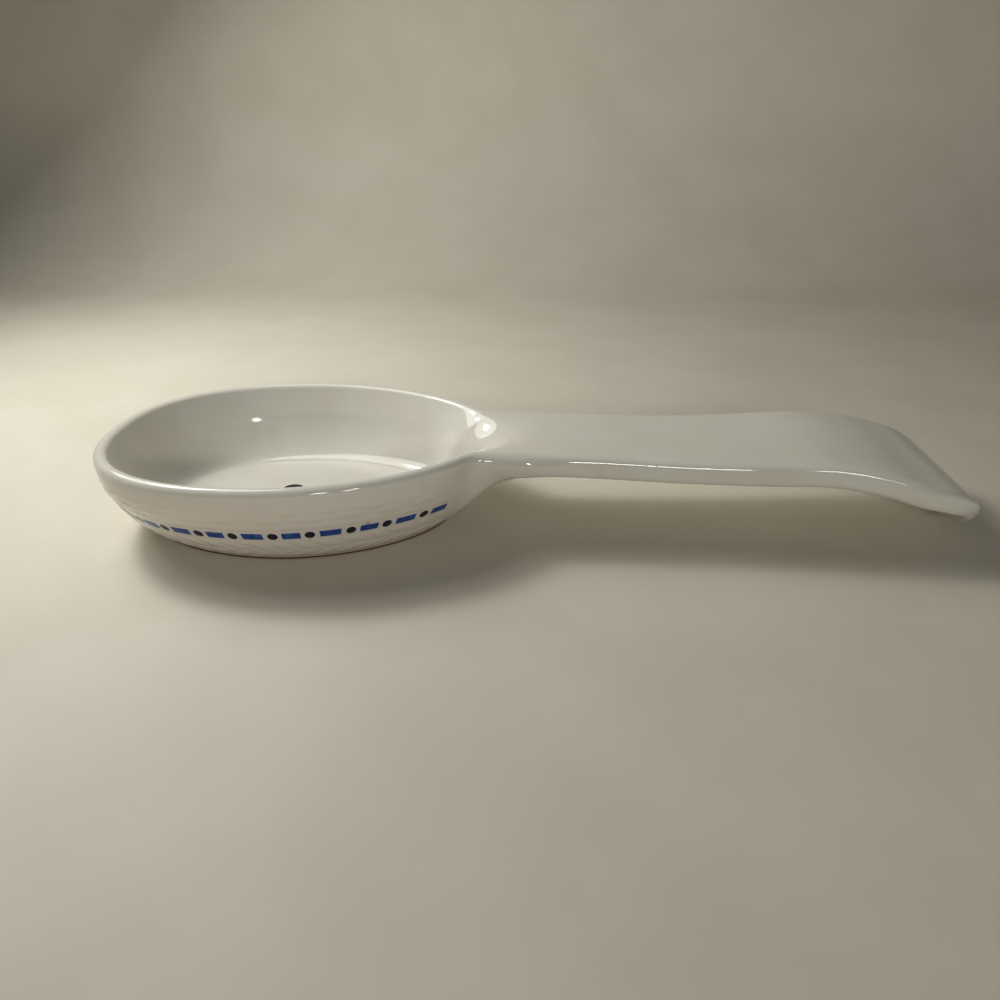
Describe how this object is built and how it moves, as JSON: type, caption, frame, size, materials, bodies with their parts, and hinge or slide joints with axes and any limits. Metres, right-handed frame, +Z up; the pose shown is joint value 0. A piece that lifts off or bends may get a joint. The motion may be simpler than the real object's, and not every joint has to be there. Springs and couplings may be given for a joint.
{
  "type": "spoon rest",
  "caption": "Glazed stoneware spoon rest: an egg-shaped bowl on a low foot, a flat handle curling down to its rounded end, a hanging hole and a painted band of dashes and dots.",
  "frame": {"origin": "on the table, midway between the front of the bowl and the end of the handle, on the mid-plane", "axes": "+X along the handle to its end, +Z up, +Y to the left when looking along +X"},
  "size_m": [0.2421, 0.079, 0.0263],
  "materials": {
    "glaze": "glossy warm white glaze",
    "bare_clay": "matt unglazed stoneware",
    "dash_blue": "blue painted under the glaze",
    "dot_navy": "dark blue painted under the glaze"
  },
  "bodies": {
    "root": {"bowl": "glaze", "handle": "glaze", "foot_ring": "bare_clay", "band_dashes": "dash_blue", "band_dots": "dot_navy", "floor_spot": "dot_navy"}
  },
  "joints": []
}
